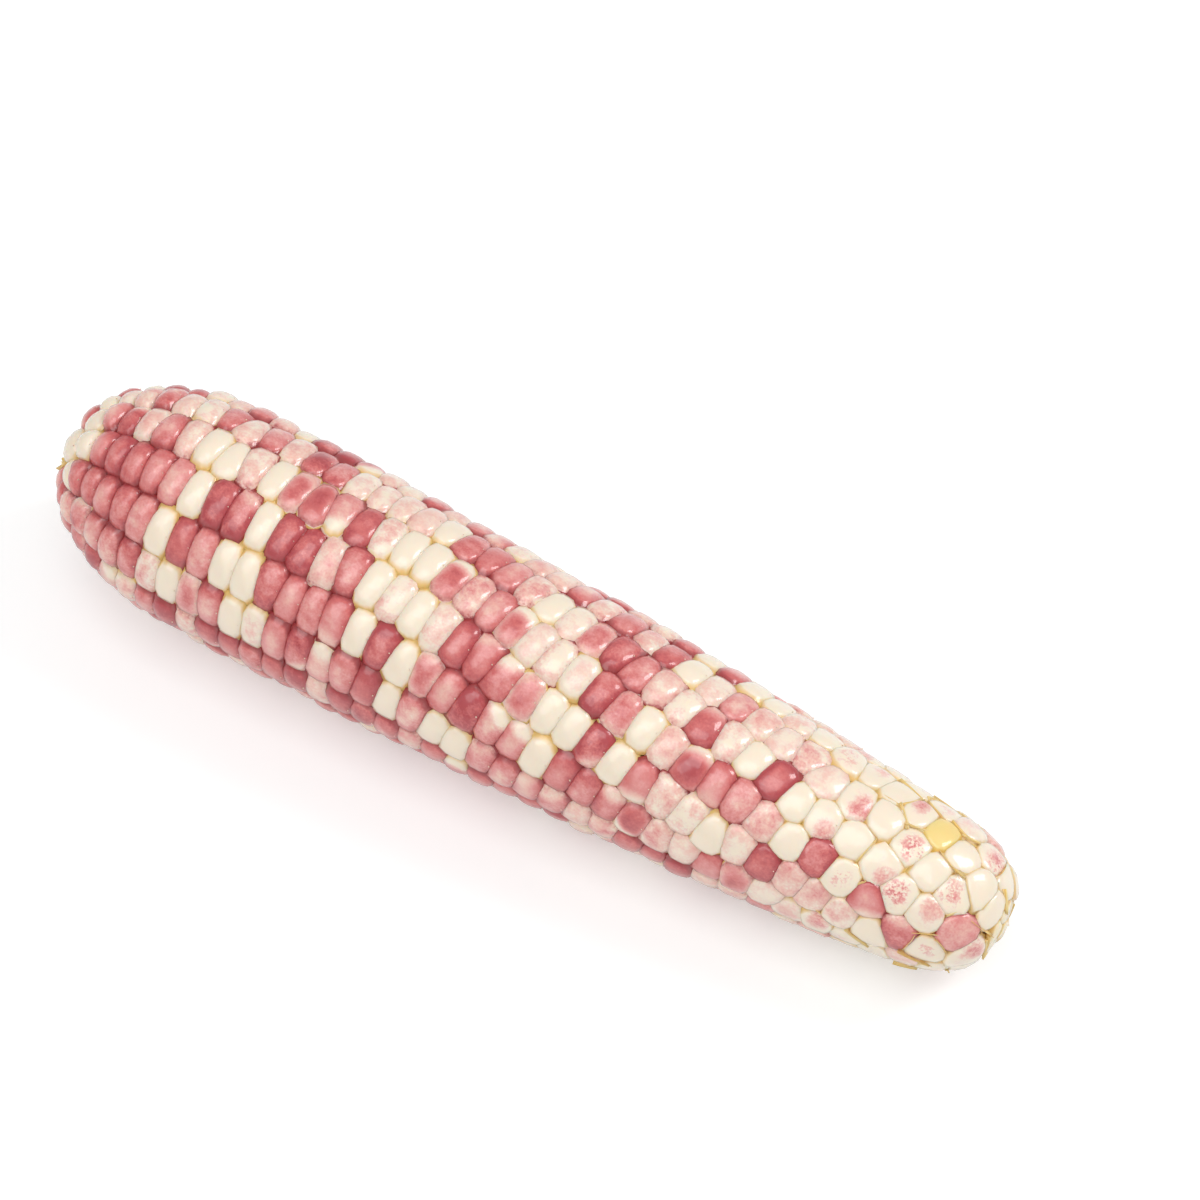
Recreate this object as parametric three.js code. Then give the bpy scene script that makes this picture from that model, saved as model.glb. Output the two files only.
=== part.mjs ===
// A husked ear of corn lying on a surface, its butt at -X and its tip at +X.
// Millimetres, +Z up. The cob is one solid, and the kernels of each lengthwise row are another.
import * as THREE from 'three';

// Outline of the ear over the kernels' crowns, measured along its axis from the butt.
const EAR_LENGTH = 200;
const BODY_RADIUS = 22.5;
const TAPER = { start: 40, drop: 9.5, power: 2.1 };
const BUTT_DOME = { length: 34, power: 2.2 };
const TIP_DOME = { length: 18, power: 2.8 };
const OUTLINE_STEPS = 720;

// How the ear lies: its axis slopes down a little towards the thinner tip.
const REST_TILT_DEG = 1.762;
const REST_HEIGHT = 21.275;
const REST_SHIFT = -0.473;

// Rows of kernels.
const ROWS = 14;
const TWIST = { start: 72, easing: 21, deg_per_mm: 0.64, at_butt_deg: -212.974 };
const PITCH = { butt: 4.65, growth: 1.2 };
const SCAR_RADIUS = 8.5;
const NUB_RADIUS = 6;
const SHORT_ROW_BUTT = 5;
const ROW_ENDS = [EAR_LENGTH, 191, EAR_LENGTH, 180, EAR_LENGTH, 191, EAR_LENGTH];
const ROW_FADE = { butt: 10, tip: 16 };
const LEAST_SHARE = 0.35;

// One kernel.
const DEPTH_RATIO = 0.38;
const GROOVE_DEPTH = 1.8;
const CROWN_INSET = { along: 0.24, across: 0.1 };
const RISE = { most: 0.3, seed: 178, row_step: 97 };
const SIDE_GAP = 0.15;

// The cob under the kernels.
const CORE_CLEARANCE = 0.8;
const CORE_SIDES = 32;
const CORE_STEPS = 14;
const SCAR_STUB = { radius: 6.2, dish: 0.8, set_back: 1.2, chamfer: 0.7 };
const TIP_NUB = { radius: 4.2, set_back: 0.8, chamfer: 1.1 };

const FULL_TURN = 2 * Math.PI;

function smoothstep(low, high, value) {
  const t = THREE.MathUtils.clamp((value - low) / (high - low), 0, 1);
  return t * t * (3 - 2 * t);
}

function domeFactor(distance, dome) {
  const left = Math.max(0, 1 - distance / dome.length);
  return Math.pow(1 - Math.pow(left, dome.power), 1 / dome.power);
}

function crownRadius(x) {
  const taper = Math.max(0, (x - TAPER.start) / (EAR_LENGTH - TAPER.start));
  const body = BODY_RADIUS - TAPER.drop * Math.pow(taper, TAPER.power);
  return body * domeFactor(x, BUTT_DOME) * domeFactor(EAR_LENGTH - x, TIP_DOME);
}

// The outline as samples, closer together at both ends, each with its distance along the curve.
function sampleOutline() {
  const samples = [{ x: 0, r: 0, along: 0 }];
  for (let i = 1; i <= OUTLINE_STEPS; i++) {
    const x = EAR_LENGTH * (1 - Math.cos(Math.PI * i / OUTLINE_STEPS)) / 2;
    const r = crownRadius(x);
    const last = samples[i - 1];
    samples.push({ x, r, along: last.along + Math.hypot(x - last.x, r - last.r) });
  }
  return samples;
}

const outline = sampleOutline();
const OUTLINE_LENGTH = outline[OUTLINE_STEPS].along;

// The outline's point at a distance along it, with the outward normal there.
function outlineAt(along) {
  const found = outline.findIndex((sample) => sample.along >= along);
  const i = THREE.MathUtils.clamp(found, 1, OUTLINE_STEPS - 1);
  const [before, here, after] = [outline[i - 1], outline[i], outline[i + 1]];
  const t = (along - before.along) / (here.along - before.along);
  const span = Math.hypot(after.x - before.x, after.r - before.r);
  return {
    x: THREE.MathUtils.lerp(before.x, here.x, t),
    r: THREE.MathUtils.lerp(before.r, here.r, t),
    nx: -(after.r - before.r) / span,
    nr: (after.x - before.x) / span,
  };
}

function alongAtX(x) {
  return outline.find((sample) => sample.x >= x).along;
}

const BUTT_END = outline.find((sample) => sample.r >= SCAR_RADIUS).along;
const TIP_END = outline.findLast((sample) => sample.r >= NUB_RADIUS).along;

// Every second row starts a little way up the butt, and some rows give out before the tip.
function rowSpan(row) {
  const end = ROW_ENDS[row % ROW_ENDS.length];
  return {
    start: row % 2 === 0 ? BUTT_END : BUTT_END + SHORT_ROW_BUTT,
    end: end === EAR_LENGTH ? TIP_END : alongAtX(end),
  };
}

// A row's share of the way round: 1 where it is whole, less where it fades out beside its neighbours.
function rowShare(row, along) {
  const { start, end } = rowSpan(row);
  let share = 1;
  if (start > BUTT_END) {
    share *= smoothstep(start - ROW_FADE.butt * LEAST_SHARE, start + ROW_FADE.butt, along);
  }
  if (end < TIP_END) {
    share *= 1 - smoothstep(end - ROW_FADE.tip, end + ROW_FADE.tip * LEAST_SHARE, along);
  }
  return share;
}

// Rows run straight over the butt half, then wind slowly round to the tip.
function twistAt(along) {
  const past = outlineAt(along).x - TWIST.start;
  const eased = past <= 0 ? 0 : past * past / (past + TWIST.easing);
  return THREE.MathUtils.degToRad(TWIST.at_butt_deg + TWIST.deg_per_mm * eased);
}

function rowBorders(row, along) {
  const shares = Array.from({ length: ROWS }, (_, k) => rowShare(k, along));
  const total = shares.reduce((sum, share) => sum + share, 0);
  const before = shares.slice(0, row).reduce((sum, share) => sum + share, 0);
  const low = twistAt(along) + FULL_TURN * before / total;
  return { low, high: low + FULL_TURN * shares[row] / total };
}

function kernelPitch(along) {
  return PITCH.butt + PITCH.growth * Math.pow(along / OUTLINE_LENGTH, 2);
}

// A number from 0 to 1 that looks random but is the same for the same key.
function scatter(key) {
  const spread = Math.abs(Math.sin(key * 12.9898) * 43758.5453);
  return spread - Math.floor(spread);
}

// Some kernels stand a little prouder than others, and the ear rests on those.
function kernelRise(row, index) {
  return RISE.most * (2 * scatter(RISE.seed + RISE.row_step * row + index) - 1);
}

// Where the kernels of a row meet, as distances along the outline.
function rowSeams(row) {
  const { start, end } = rowSpan(row);
  const seams = [start];
  let along = start + kernelPitch(start) * (0.6 + scatter(row));
  while (along < end - kernelPitch(along) / 2) {
    seams.push(along);
    along += kernelPitch(along);
  }
  seams.push(end);
  return seams;
}

// A point of a kernel row: along the ear, at an angle round it, at a depth under the crowns.
function placeKernelPoint(along, angle, depth, inset = 0) {
  const { x, r, nx, nr } = outlineAt(along);
  const radius = r - nr * depth;
  const turned = angle + inset / radius;
  return [
    x - nx * depth - EAR_LENGTH / 2,
    radius * Math.cos(turned),
    radius * Math.sin(turned),
  ];
}

class MeshBuilder {
  constructor() {
    this.positions = [];
    this.faces = [];
  }

  point(position) {
    this.positions.push(...position);
    return this.positions.length / 3 - 1;
  }

  quad(a, b, c, d) {
    this.faces.push(a, b, c, a, c, d);
  }

  geometry() {
    const geometry = new THREE.BufferGeometry();
    geometry.setAttribute('position', new THREE.Float32BufferAttribute(this.positions, 3));
    geometry.setIndex(this.faces);
    return geometry;
  }
}

// The four points of a row's section where two kernels meet: its foot and its groove on each side.
function addSeamSection(builder, row, along) {
  const { low, high } = rowBorders(row, along);
  const foot = outlineAt(along).r * DEPTH_RATIO;
  return {
    foot_low: builder.point(placeKernelPoint(along, low, foot, SIDE_GAP)),
    foot_high: builder.point(placeKernelPoint(along, high, foot, -SIDE_GAP)),
    groove_low: builder.point(placeKernelPoint(along, low, GROOVE_DEPTH, SIDE_GAP)),
    groove_high: builder.point(placeKernelPoint(along, high, GROOVE_DEPTH, -SIDE_GAP)),
  };
}

function addCrown(builder, row, from, to, rise) {
  const corner = (t, side) => {
    const along = THREE.MathUtils.lerp(from, to, t);
    const { low, high } = rowBorders(row, along);
    return builder.point(placeKernelPoint(along, THREE.MathUtils.lerp(low, high, side), -rise));
  };
  const { along, across } = CROWN_INSET;
  return {
    start_low: corner(along, across),
    start_high: corner(along, 1 - across),
    end_low: corner(1 - along, across),
    end_high: corner(1 - along, 1 - across),
  };
}

function addKernel(builder, start, end, crown) {
  builder.quad(crown.start_low, crown.start_high, crown.end_high, crown.end_low);
  builder.quad(start.groove_low, start.groove_high, crown.start_high, crown.start_low);
  builder.quad(crown.end_low, crown.end_high, end.groove_high, end.groove_low);
  builder.quad(start.groove_low, crown.start_low, crown.end_low, end.groove_low);
  builder.quad(crown.start_high, start.groove_high, end.groove_high, crown.end_high);
  builder.quad(start.foot_low, start.groove_low, end.groove_low, end.foot_low);
  builder.quad(start.groove_high, start.foot_high, end.foot_high, end.groove_high);
  builder.quad(start.foot_low, end.foot_low, end.foot_high, start.foot_high);
}

function kernelRowGeometry(row) {
  const builder = new MeshBuilder();
  const seams = rowSeams(row);
  const sections = seams.map((along) => addSeamSection(builder, row, along));
  for (let i = 1; i < seams.length; i++) {
    const crown = addCrown(builder, row, seams[i - 1], seams[i], kernelRise(row, i - 1));
    addKernel(builder, sections[i - 1], sections[i], crown);
  }
  const first = sections[0];
  const last = sections[sections.length - 1];
  builder.quad(first.foot_low, first.foot_high, first.groove_high, first.groove_low);
  builder.quad(last.foot_low, last.groove_low, last.groove_high, last.foot_high);
  return builder.geometry();
}

// The cob: a turned solid with the shank's dished scar at the butt and a small nub at the tip.
function cobCoreGeometry() {
  const butt = outlineAt(BUTT_END);
  const tip = outlineAt(TIP_END);
  const scarX = butt.x + SCAR_STUB.set_back;
  const nubX = tip.x - TIP_NUB.set_back;
  const profile = [
    new THREE.Vector2(0, scarX + SCAR_STUB.dish),
    new THREE.Vector2(SCAR_STUB.radius - SCAR_STUB.chamfer, scarX),
    new THREE.Vector2(SCAR_STUB.radius, scarX + SCAR_STUB.chamfer),
  ];
  for (let i = 0; i <= CORE_STEPS; i++) {
    const along = THREE.MathUtils.lerp(BUTT_END, TIP_END, i / CORE_STEPS);
    const { x, r, nx, nr } = outlineAt(along);
    const depth = r * DEPTH_RATIO + CORE_CLEARANCE;
    profile.push(new THREE.Vector2(r - nr * depth, x - nx * depth));
  }
  profile.push(new THREE.Vector2(TIP_NUB.radius, nubX - TIP_NUB.chamfer));
  profile.push(new THREE.Vector2(TIP_NUB.radius - TIP_NUB.chamfer, nubX));
  profile.push(new THREE.Vector2(0, nubX));
  const geometry = new THREE.LatheGeometry(profile, CORE_SIDES);
  geometry.rotateZ(-Math.PI / 2);
  geometry.translate(-EAR_LENGTH / 2, 0, 0);
  return geometry;
}

function namedMesh(name, geometry, finish) {
  const mesh = new THREE.Mesh(geometry, new THREE.MeshStandardMaterial(finish));
  mesh.name = name;
  return mesh;
}

const KERNEL_FINISH = { color: 0xe3aaa4, roughness: 0.3, metalness: 0 };
const CORE_FINISH = { color: 0xd9bf85, roughness: 0.8, metalness: 0 };

const ear = new THREE.Group();
ear.rotation.y = THREE.MathUtils.degToRad(REST_TILT_DEG);
ear.position.set(REST_SHIFT, 0, REST_HEIGHT);
ear.add(namedMesh('cob_core', cobCoreGeometry(), CORE_FINISH));
for (let row = 0; row < ROWS; row++) {
  const name = `kernel_row_${String(row + 1).padStart(2, '0')}`;
  ear.add(namedMesh(name, kernelRowGeometry(row), KERNEL_FINISH));
}

const cornCob = new THREE.Group();
cornCob.add(ear);

export default cornCob;
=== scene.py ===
"""A husked ear of two-colour waxy corn, finished round its packed cob and kernel rows."""
import math

import bmesh
import bpy
import numpy as np
from mathutils import Matrix, Vector, noise


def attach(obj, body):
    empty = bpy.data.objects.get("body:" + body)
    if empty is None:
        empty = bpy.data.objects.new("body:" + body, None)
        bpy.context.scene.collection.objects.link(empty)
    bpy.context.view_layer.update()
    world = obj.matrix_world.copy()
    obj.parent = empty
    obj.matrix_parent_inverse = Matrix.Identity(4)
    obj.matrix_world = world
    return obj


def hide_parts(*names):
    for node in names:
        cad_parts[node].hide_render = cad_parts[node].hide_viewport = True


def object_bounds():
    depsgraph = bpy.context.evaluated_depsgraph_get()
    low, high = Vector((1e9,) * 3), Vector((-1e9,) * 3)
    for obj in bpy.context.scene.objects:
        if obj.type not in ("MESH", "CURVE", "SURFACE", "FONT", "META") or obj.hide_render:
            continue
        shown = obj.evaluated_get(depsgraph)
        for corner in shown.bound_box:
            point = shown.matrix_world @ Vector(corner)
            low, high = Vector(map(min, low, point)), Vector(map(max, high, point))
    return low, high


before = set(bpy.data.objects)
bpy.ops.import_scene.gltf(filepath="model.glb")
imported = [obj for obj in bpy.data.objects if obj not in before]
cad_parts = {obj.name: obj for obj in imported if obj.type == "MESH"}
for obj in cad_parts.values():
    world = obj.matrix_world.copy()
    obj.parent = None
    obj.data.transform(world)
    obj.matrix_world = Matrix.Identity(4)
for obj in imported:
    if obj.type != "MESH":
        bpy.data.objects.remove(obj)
cad_low, cad_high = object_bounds()

MM = 0.001
SEED = 11

# The ear's outline over the kernels' crowns, in millimetres from the butt.
EAR_LENGTH = 200.0
BODY_RADIUS = 22.5
TAPER_START, TAPER_DROP, TAPER_POWER = 40.0, 9.5, 2.1
BUTT_DOME_LENGTH, BUTT_DOME_POWER = 34.0, 2.2
TIP_DOME_LENGTH, TIP_DOME_POWER = 18.0, 2.8
OUTLINE_STEPS = 720

# How the ear lies.
REST_TILT = math.radians(1.762)
REST_HEIGHT = 21.275
REST_SHIFT = -0.473

# Rows of kernels.
ROWS = 14
TWIST_START, TWIST_EASING, TWIST_PER_MM = 72.0, 21.0, math.radians(0.64)
TWIST_AT_BUTT = math.radians(-212.974)
PITCH_BUTT, PITCH_GROWTH = 4.65, 1.2
SCAR_RADIUS = 8.5
NUB_RADIUS = 6.0
SHORT_ROW_BUTT = 5.0
ROW_ENDS = [EAR_LENGTH, 191.0, EAR_LENGTH, 180.0, EAR_LENGTH, 191.0, EAR_LENGTH]
ROW_FADE_BUTT, ROW_FADE_TIP = 10.0, 16.0
LEAST_SHARE = 0.35
FOOT_RATIO = 0.38
MOST_RISE, RISE_SEED, RISE_ROW_STEP = 0.3, 178, 97

# The least length of a row's first kernel, as a share of a full one.
FIRST_KERNEL_SHARE = 0.6

# Rings of small unfilled kernels on the blunt end: how many, and how far from the axis.
END_RINGS = [(6, 4.3), (3, 1.8)]
END_KERNEL_HALF_LENGTH, END_KERNEL_RISES = 1.25, (-0.5, 0.2)

# How loosely the kernels pack: tidy over the body, crowded and many-sided towards the tip.
LOOSE_FROM, LOOSE_TO = 132.0, 176.0
TIDY_JITTER, LOOSE_JITTER = 0.06, 0.26
RELAX_ROUNDS, RELAX_STEP, TIDY_STEP_SHARE = 14, 0.22, 0.15
NEIGHBOURS = 8

# Counted in a kernel's own half sizes: how far apart two kernels touch, how near to the ends
# of the ear one may come, and how far one may stretch where it has no neighbour.
TOUCHING, LEAST_END_GAP, MOST_STRETCH = 2.0, 0.7, 1.8


def smoothstep(low, high, value):
    t = np.clip((value - low) / (high - low), 0.0, 1.0)
    return t * t * (3 - 2 * t)


def blend(low, high, t):
    return low + (high - low) * t


# --- The ear as a surface -------------------------------------------------------------------


def dome(distance, length, power):
    left = np.maximum(0.0, 1 - distance / length)
    return (1 - left**power) ** (1 / power)


def crown_radius(x):
    taper = np.maximum(0.0, (x - TAPER_START) / (EAR_LENGTH - TAPER_START))
    body = BODY_RADIUS - TAPER_DROP * taper**TAPER_POWER
    butt = dome(x, BUTT_DOME_LENGTH, BUTT_DOME_POWER)
    return body * butt * dome(EAR_LENGTH - x, TIP_DOME_LENGTH, TIP_DOME_POWER)


class Outline:
    """The ear's outline, read by the distance along it from the butt's middle."""

    def __init__(self):
        steps = np.arange(OUTLINE_STEPS + 1)
        self.x = EAR_LENGTH * (1 - np.cos(np.pi * steps / OUTLINE_STEPS)) / 2
        self.r = crown_radius(self.x)
        lengths = np.hypot(np.diff(self.x), np.diff(self.r))
        self.along = np.concatenate([[0.0], np.cumsum(lengths)])
        self.length = self.along[-1]
        self.heading = np.unwrap(np.arctan2(np.gradient(self.r), np.gradient(self.x)))
        self.bend = -np.gradient(self.heading) / np.gradient(self.along)
        self.butt_end = self.along[np.flatnonzero(self.r >= SCAR_RADIUS)[0]]
        self.tip_end = self.last_along_at_radius(NUB_RADIUS)

    def read(self, values, along):
        return np.interp(along, self.along, values)

    def along_at_x(self, x):
        return np.interp(x, self.x, self.along)

    def last_along_at_radius(self, radius):
        return self.along[np.flatnonzero(self.r >= radius)[-1]]


outline = Outline()


def ear_to_world():
    """The ear's own frame, axis on X and butt at 0, in millimetres, to the row frame in metres."""
    middle = Matrix.Translation((-EAR_LENGTH / 2, 0, 0))
    tilt = Matrix.Rotation(REST_TILT, 4, "Y")
    rest = Matrix.Translation((REST_SHIFT, 0, REST_HEIGHT))
    return Matrix.Scale(MM, 4) @ rest @ tilt @ middle


EAR_TO_WORLD = np.array(ear_to_world())
EAR_TURN = EAR_TO_WORLD[:3, :3] / MM


def surface_frame(along, angle):
    """Points on the crown surface with the ear's direction, the round direction and the normal."""
    x, r = outline.read(outline.x, along), outline.read(outline.r, along)
    heading = outline.read(outline.heading, along)
    cos_a, sin_a = np.cos(angle), np.sin(angle)
    cos_h, sin_h = np.cos(heading), np.sin(heading)
    points = np.stack([x, r * cos_a, r * sin_a], axis=-1)
    lengthwise = np.stack([cos_h, sin_h * cos_a, sin_h * sin_a], axis=-1)
    round_way = np.stack([np.zeros_like(x), -sin_a, cos_a], axis=-1)
    normal = np.stack([-sin_h, cos_h * cos_a, cos_h * sin_a], axis=-1)
    return points, lengthwise, round_way, normal


def to_world(points):
    return points @ EAR_TO_WORLD[:3, :3].T + EAR_TO_WORLD[:3, 3]


# --- Where the kernels stand ----------------------------------------------------------------


def row_span(row):
    end = ROW_ENDS[row % len(ROW_ENDS)]
    start = outline.butt_end + (SHORT_ROW_BUTT if row % 2 else 0.0)
    return start, outline.tip_end if end == EAR_LENGTH else outline.along_at_x(end)


def row_share(row, along):
    start, end = row_span(row)
    share = np.ones_like(along)
    if start > outline.butt_end:
        share *= smoothstep(start - ROW_FADE_BUTT * LEAST_SHARE, start + ROW_FADE_BUTT, along)
    if end < outline.tip_end:
        share *= 1 - smoothstep(end - ROW_FADE_TIP, end + ROW_FADE_TIP * LEAST_SHARE, along)
    return share


def twist_at(along):
    past = np.maximum(0.0, outline.read(outline.x, along) - TWIST_START)
    return TWIST_AT_BUTT + TWIST_PER_MM * past * past / (past + TWIST_EASING)


def row_borders(row, along):
    shares = np.array([row_share(k, along) for k in range(ROWS)])
    total = shares.sum(axis=0)
    low = twist_at(along) + 2 * np.pi * shares[:row].sum(axis=0) / total
    return low, low + 2 * np.pi * shares[row] / total


def kernel_pitch(along):
    return PITCH_BUTT + PITCH_GROWTH * (along / outline.length) ** 2


def scatter(key):
    """A number from 0 to 1 that looks random but is the same for the same key."""
    return abs(math.sin(key * 12.9898) * 43758.5453) % 1.0


def kernel_rise(row, index):
    return MOST_RISE * (2 * scatter(RISE_SEED + RISE_ROW_STEP * row + index) - 1)


def row_seams(row):
    start, end = row_span(row)
    seams = [start]
    along = start + kernel_pitch(start) * (FIRST_KERNEL_SHARE + scatter(row))
    while along < end - kernel_pitch(along) / 2:
        seams.append(along)
        along += kernel_pitch(along)
    return np.array([*seams, end])


class Kernels:
    """Every kernel of the ear: its row, its place and its half sizes, as arrays."""

    def __init__(self, draw):
        rows, rises, along, angle, half_length, half_width = [], [], [], [], [], []
        for row in range(ROWS):
            seams = row_seams(row)
            middles = (seams[1:] + seams[:-1]) / 2
            low, high = row_borders(row, middles)
            rows.append(np.full(len(middles), row))
            rises.append([kernel_rise(row, index) for index in range(len(middles))])
            along.append(middles)
            angle.append((low + high) / 2)
            half_length.append((seams[1:] - seams[:-1]) / 2)
            half_width.append((high - low) / 2 * outline.read(outline.r, middles))
        for count, radius in END_RINGS:
            rows.append(np.full(count, ROWS))
            rises.append(draw.uniform(*END_KERNEL_RISES, count))
            along.append(np.full(count, outline.last_along_at_radius(radius)))
            angle.append((np.arange(count) + draw.random()) * 2 * np.pi / count)
            half_length.append(np.full(count, END_KERNEL_HALF_LENGTH))
            half_width.append(np.full(count, np.pi * radius / count))
        self.row = np.concatenate(rows)
        self.rise = np.concatenate(rises)
        self.along = np.concatenate(along)
        self.angle = np.concatenate(angle)
        self.half_length = np.concatenate(half_length)
        self.half_width = np.concatenate(half_width)
        self.count = len(self.row)
        self.loose = smoothstep(LOOSE_FROM, LOOSE_TO, outline.read(outline.x, self.along))
        self.nudge(draw)
        for _ in range(RELAX_ROUNDS):
            self.relax()
        self.facets = self.find_facets()
        self.half_length = self.fitted(self.half_length, np.array([1.0, 0.0]))
        self.half_width = self.fitted(self.half_width, np.array([0.0, 1.0]))

    def nudge(self, draw):
        reach = blend(TIDY_JITTER, LOOSE_JITTER, self.loose) * 2
        self.along += draw.uniform(-1, 1, self.count) * reach * self.half_length
        shift = draw.uniform(-1, 1, self.count) * reach * self.half_width
        self.angle += shift / outline.read(outline.r, self.along)

    def ghosts(self):
        """Mirror images across the open butt, which bound the first kernels there."""
        first = [np.flatnonzero(self.row == row)[0] for row in range(0, ROWS, 2)]
        return 2 * outline.butt_end - self.along[first], self.angle[first]

    def neighbours(self):
        """For each kernel: the directions and distances of the nearest ones, by its own size."""
        ghost_along, ghost_angle = self.ghosts()
        points, lengthwise, round_way, _ = surface_frame(self.along, self.angle)
        others = surface_frame(
            np.concatenate([self.along, ghost_along]), np.concatenate([self.angle, ghost_angle])
        )[0]
        apart = others[None] - points[:, None]
        distance = np.linalg.norm(apart, axis=2)
        plane = np.stack(
            [(apart * lengthwise[:, None]).sum(2), (apart * round_way[:, None]).sum(2)], axis=2
        )
        flat = np.maximum(np.linalg.norm(plane, axis=2), 1e-9)
        direction = plane / flat[..., None]
        sizes = np.stack([self.half_length, self.half_width], axis=1)[:, None]
        measure = distance * np.linalg.norm(direction / sizes, axis=2)
        measure[np.arange(self.count), np.arange(self.count)] = np.inf
        nearest = np.argsort(measure, axis=1)[:, :NEIGHBOURS]

        def take(values):
            return np.take_along_axis(values, nearest, axis=1)

        chosen = np.stack([take(direction[..., 0]), take(direction[..., 1])], axis=2)
        return chosen, take(distance), take(measure)

    def relax(self):
        """Crowded kernels push each other apart, more so where the packing is loose."""
        direction, _, measure = self.neighbours()
        crowding = np.clip(TOUCHING - measure, 0.0, 1.0)
        push = -(direction * crowding[..., None]).sum(axis=1)
        step = RELAX_STEP * blend(TIDY_STEP_SHARE, 1.0, self.loose)
        low = outline.butt_end + self.half_length * LEAST_END_GAP
        high = outline.tip_end - self.half_length * LEAST_END_GAP
        moved = np.clip(self.along + push[:, 0] * step * self.half_length * 2, low, high)
        self.along = np.where(self.row == ROWS, self.along, moved)
        shift = push[:, 1] * step * self.half_width * 2
        self.angle = self.angle + shift / outline.read(outline.r, self.along)

    def find_facets(self):
        """The flat sides between a kernel and its neighbours: direction over distance."""
        direction, distance, _ = self.neighbours()
        return direction / (distance / 2)[..., None]

    def fitted(self, half, way):
        """The half size that the neighbours leave along one way, once they stand still."""
        ahead = 1 / np.maximum((self.facets @ way).max(axis=1), 1 / (half * MOST_STRETCH))
        behind = 1 / np.maximum((self.facets @ -way).max(axis=1), 1 / (half * MOST_STRETCH))
        return np.where(self.row == ROWS, half, (ahead + behind) / 2)


# --- Node graphs written as expressions -----------------------------------------------------


class Wire:
    """A node's output socket. Sums on wires add the nodes that work them out."""

    def __init__(self, graph, socket):
        self.graph = graph
        self.socket = socket

    def maths(self, operation, *values):
        inputs = dict(enumerate(values))
        return self.graph.add("ShaderNodeMath", {"operation": operation}, inputs)

    def __add__(self, other):
        return self.maths("ADD", self, other)

    def __sub__(self, other):
        return self.maths("SUBTRACT", self, other)

    def __mul__(self, other):
        return self.maths("MULTIPLY", self, other)

    def __truediv__(self, other):
        return self.maths("DIVIDE", self, other)

    def __pow__(self, other):
        return self.maths("POWER", self, other)

    def __radd__(self, other):
        return self.maths("ADD", other, self)

    def __rsub__(self, other):
        return self.maths("SUBTRACT", other, self)

    def __rmul__(self, other):
        return self.maths("MULTIPLY", other, self)

    def __rtruediv__(self, other):
        return self.maths("DIVIDE", other, self)

    def at_least(self, other):
        return self.maths("MAXIMUM", self, other)

    def at_most(self, other):
        return self.maths("MINIMUM", self, other)

    def above(self, other):
        return self.maths("GREATER_THAN", self, other)

    def size(self):
        return self.maths("ABSOLUTE", self)

    def sine(self):
        return self.maths("SINE", self)

    def ramp(self, low, high):
        """0 below low, 1 above high, and a smooth rise between them."""
        settings = {"interpolation_type": "SMOOTHSTEP"}
        inputs = {"Value": self, "From Min": low, "From Max": high}
        return self.graph.add("ShaderNodeMapRange", settings, inputs)

    def vector(self, operation, other=None, output="Vector"):
        inputs = {0: self} if other is None else {0: self, 1: other}
        settings = {"operation": operation}
        return self.graph.add("ShaderNodeVectorMath", settings, inputs, output)

    def scaled(self, factor):
        inputs = {0: self, "Scale": factor}
        return self.graph.add("ShaderNodeVectorMath", {"operation": "SCALE"}, inputs)

    def dot(self, other):
        return self.vector("DOT_PRODUCT", other, "Value")

    def parts(self):
        node = self.graph.add("ShaderNodeSeparateXYZ", inputs={0: self}).socket.node
        return [Wire(self.graph, socket) for socket in node.outputs]


class Graph:
    """A node tree under construction."""

    def __init__(self, tree):
        self.tree = tree

    def add(self, kind, settings=None, inputs=None, output=0):
        node = self.tree.nodes.new(kind)
        for name, value in (settings or {}).items():
            if name == "stops":
                self.set_stops(node.color_ramp, value)
            else:
                setattr(node, name, value)
        for key, value in (inputs or {}).items():
            if isinstance(value, Wire):
                self.tree.links.new(value.socket, node.inputs[key])
            else:
                node.inputs[key].default_value = value
        return Wire(self, node.outputs[output] if node.outputs else None)

    @staticmethod
    def set_stops(ramp, stops):
        while len(ramp.elements) < len(stops):
            ramp.elements.new(1.0)
        for element, (place, colour) in zip(ramp.elements, stops):
            element.position = place
            element.color = colour

    def combine(self, x, y, z):
        return self.add("ShaderNodeCombineXYZ", inputs={0: x, 1: y, 2: z})

    def mix(self, factor, low, high):
        inputs = {"Factor": factor, 6: low, 7: high}
        return self.add("ShaderNodeMix", {"data_type": "RGBA"}, inputs, 2)

    def noise(self, vector, scale, detail=2.0, roughness=0.5):
        inputs = {"Vector": vector, "Scale": scale, "Detail": detail, "Roughness": roughness}
        return self.add("ShaderNodeTexNoise", inputs=inputs)


# --- The kernel as Geometry Nodes -----------------------------------------------------------

FACET_NAMES = [f"facet_{i}" for i in range(NEIGHBOURS)]
KERNEL_COUNTS = {"Sides": 14, "Rings": 6}
KERNEL_SIZES = {
    "Packed depth": 0.00015,
    "Packed corner": 22.0,
    "Length limit": 1.7,
    "Width limit": 1.5,
    "Foot reach": 0.9,
    "Lump scale": 330.0,
    "Scar radius": 0.00016,
    "Scar height": 0.00030,
    "Scar place": 0.84,
}
LUMP_SPREAD, FOLD_WIDTH, LEAST_TAPER = 7.0, 0.09, 0.3
NIB_SIDES, NIB_TOP, NIB_LEAN, LEAST_NIB = 7, 0.35, 1.3, 0.1


def field(graph, name, kind="FLOAT"):
    return graph.add("GeometryNodeInputNamedAttribute", {"data_type": kind}, {"Name": name})


def arrow(graph, name):
    return field(graph, name, "FLOAT_VECTOR")


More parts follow.
